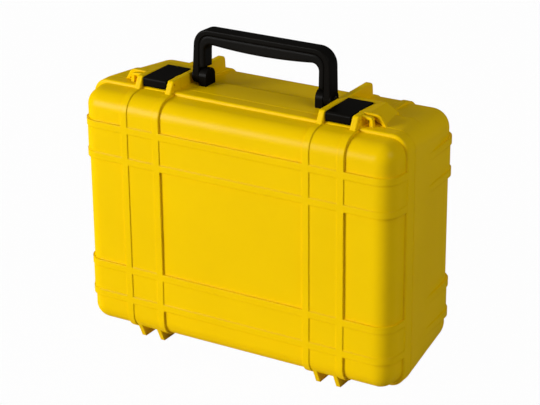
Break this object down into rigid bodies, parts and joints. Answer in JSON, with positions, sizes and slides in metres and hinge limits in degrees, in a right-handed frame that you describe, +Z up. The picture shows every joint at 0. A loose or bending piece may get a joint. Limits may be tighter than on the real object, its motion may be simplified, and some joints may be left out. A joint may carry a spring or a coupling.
{
  "type": "waterproof hard case",
  "caption": "Moulded hard carrying case that stands on its hinge side, with a hinged front shell, lever latches, a folding handle and a rubber seal.",
  "frame": {"origin": "on the ground plane under the feet, at the middle of the case's width and depth", "axes": "+X to the right along the width, +Y from the hinged front shell to the back, +Z up towards the handle"},
  "size_m": [0.439, 0.187, 0.4013],
  "materials": {
    "shell": "satin moulded plastic",
    "seal": "matte rubber",
    "latch": "satin moulded plastic",
    "handle": "satin moulded plastic",
    "bracket": "satin moulded plastic",
    "pin": "stainless steel",
    "screw": "stainless steel"
  },
  "bodies": {
    "base": {"base_shell": "shell", "left_hinge_pin": "pin", "right_hinge_pin": "pin", "left_handle_bracket": "bracket", "right_handle_bracket": "bracket", "left_handle_pin": "pin", "right_handle_pin": "pin", "bracket_screws": "screw", "bracket_seals": "seal"},
    "lid": {"lid_shell": "shell", "lid_seal": "seal", "left_latch_pin": "pin", "right_latch_pin": "pin"},
    "left_latch": {"left_latch": "latch"},
    "right_latch": {"right_latch": "latch"},
    "handle": {"handle_frame": "handle", "handle_grip": "handle"}
  },
  "joints": [
    {"name": "lid_hinge", "type": "hinge", "parent": "base", "child": "lid", "pos_m": [0, -0.0395, 0.0042], "axis": [1, 0, 0], "range_deg": [0, 100]},
    {"name": "left_latch_lift", "type": "hinge", "parent": "lid", "child": "left_latch", "pos_m": [-0.12773, -0.0535, 0.3363], "axis": [1, 0, 0], "range_deg": [0, 110]},
    {"name": "right_latch_lift", "type": "hinge", "parent": "lid", "child": "right_latch", "pos_m": [0.12773, -0.0535, 0.3363], "axis": [1, 0, 0], "range_deg": [0, 110]},
    {"name": "handle_fold", "type": "hinge", "parent": "base", "child": "handle", "pos_m": [0, -0.0105, 0.3398], "axis": [-1, 0, 0], "range_deg": [0, 87]}
  ]
}
